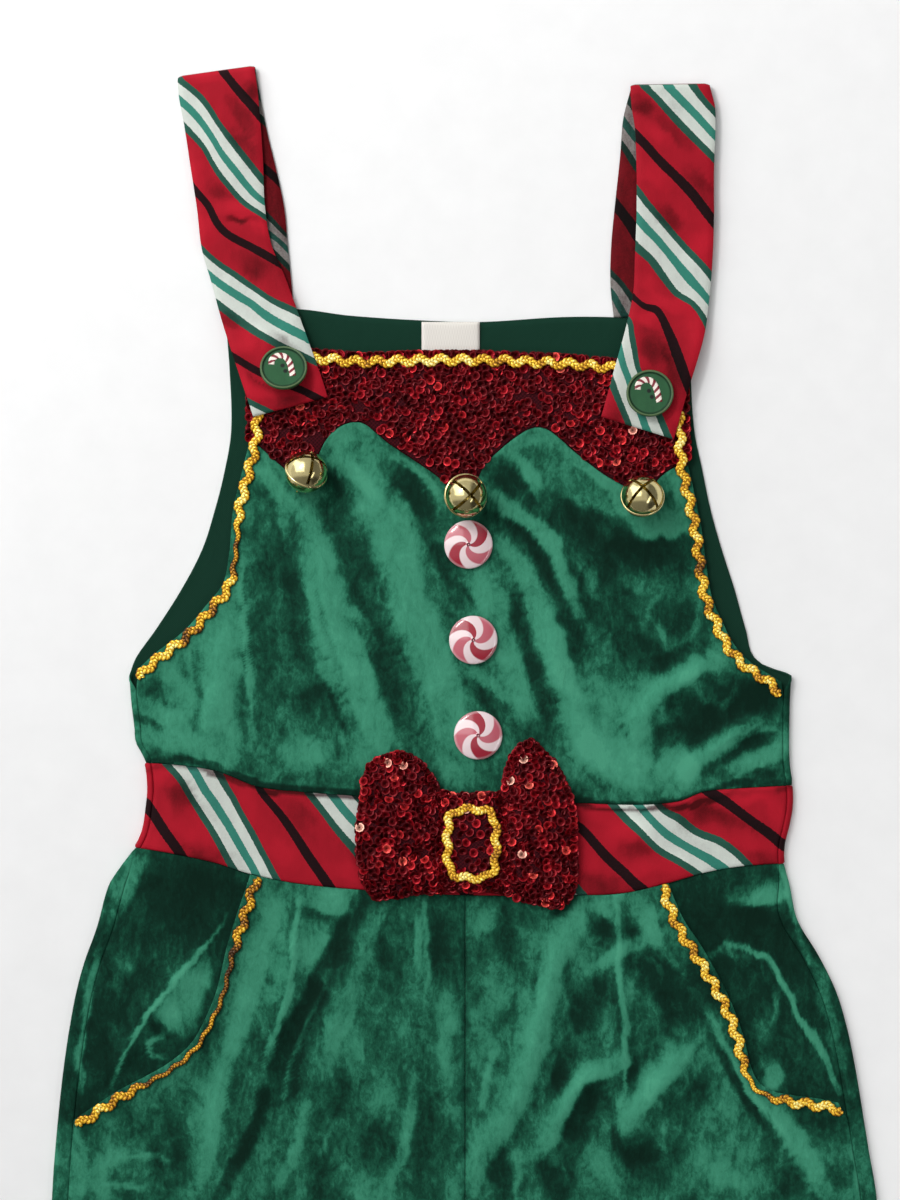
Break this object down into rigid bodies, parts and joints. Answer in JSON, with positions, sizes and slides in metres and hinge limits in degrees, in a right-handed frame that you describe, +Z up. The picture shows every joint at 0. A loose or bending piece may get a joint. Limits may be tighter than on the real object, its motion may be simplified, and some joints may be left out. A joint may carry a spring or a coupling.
{
  "type": "elf costume dungarees laid flat",
  "caption": "Velvet elf dungarees laid flat, with striped waistband and straps, sequinned yoke and bow, peppermint buttons, gold rickrack and jingle bells on the yoke's points.",
  "frame": {"origin": "on the underside, at the centre back of the waistband, where the garment rests on its surface", "axes": "+Y along the garment from the waist towards the straps, +X to the viewer's right, +Z up from the surface through the front of the garment"},
  "size_m": [0.5153, 1.4708, 0.0377],
  "materials": {
    "velvet": "crushed pile with a strong sheen",
    "lining": "matte",
    "stripe": "short pile, diagonal stripes",
    "sequin": "glittering sequins",
    "gold_trim": "metallic braid",
    "brass": "polished",
    "button": "glossy",
    "mint": "glossy",
    "satin": "satin",
    "thread": "matte"
  },
  "bodies": {
    "garment": {"back_bib": "lining", "back_waistband": "stripe", "back_leg_left": "velvet", "back_leg_right": "velvet", "hip_panel_left": "velvet", "hip_panel_right": "velvet", "front_leg_left": "velvet", "front_leg_right": "velvet", "front_waistband": "stripe", "front_bib": "velvet", "sequin_yoke": "sequin", "strap_left": "stripe", "strap_right": "stripe", "strap_button_left": "button", "strap_button_right": "button", "mint_top": "mint", "mint_middle": "mint", "mint_bottom": "mint", "bow_loop_left": "sequin", "bow_loop_right": "sequin", "bow_knot": "sequin", "bow_buckle_trim": "gold_trim", "bib_top_trim": "gold_trim", "armhole_trim_left": "gold_trim", "armhole_trim_right": "gold_trim", "pocket_trim_left": "gold_trim", "pocket_trim_right": "gold_trim", "neck_label": "satin", "bell_thread_left": "thread", "bell_thread_centre": "thread", "bell_thread_right": "thread"},
    "left_bell": {"bell_left": "brass", "bell_pellet_left": "brass"},
    "centre_bell": {"bell_centre": "brass", "bell_pellet_centre": "brass"},
    "right_bell": {"bell_right": "brass", "bell_pellet_right": "brass"}
  },
  "joints": [
    {"name": "left_bell_swing", "type": "hinge", "parent": "garment", "child": "left_bell", "pos_m": [-0.101, 0.2145, 0.00995], "axis": [0.8988, -0.4384, 0], "range_deg": [0, 94]},
    {"name": "centre_bell_swing", "type": "hinge", "parent": "garment", "child": "centre_bell", "pos_m": [-0.0015, 0.21, 0.0101], "axis": [0, -1, 0], "range_deg": [0, 60]},
    {"name": "right_bell_swing", "type": "hinge", "parent": "garment", "child": "right_bell", "pos_m": [0.111, 0.2025, 0.0099], "axis": [1, 0, 0], "range_deg": [0, 73]}
  ]
}
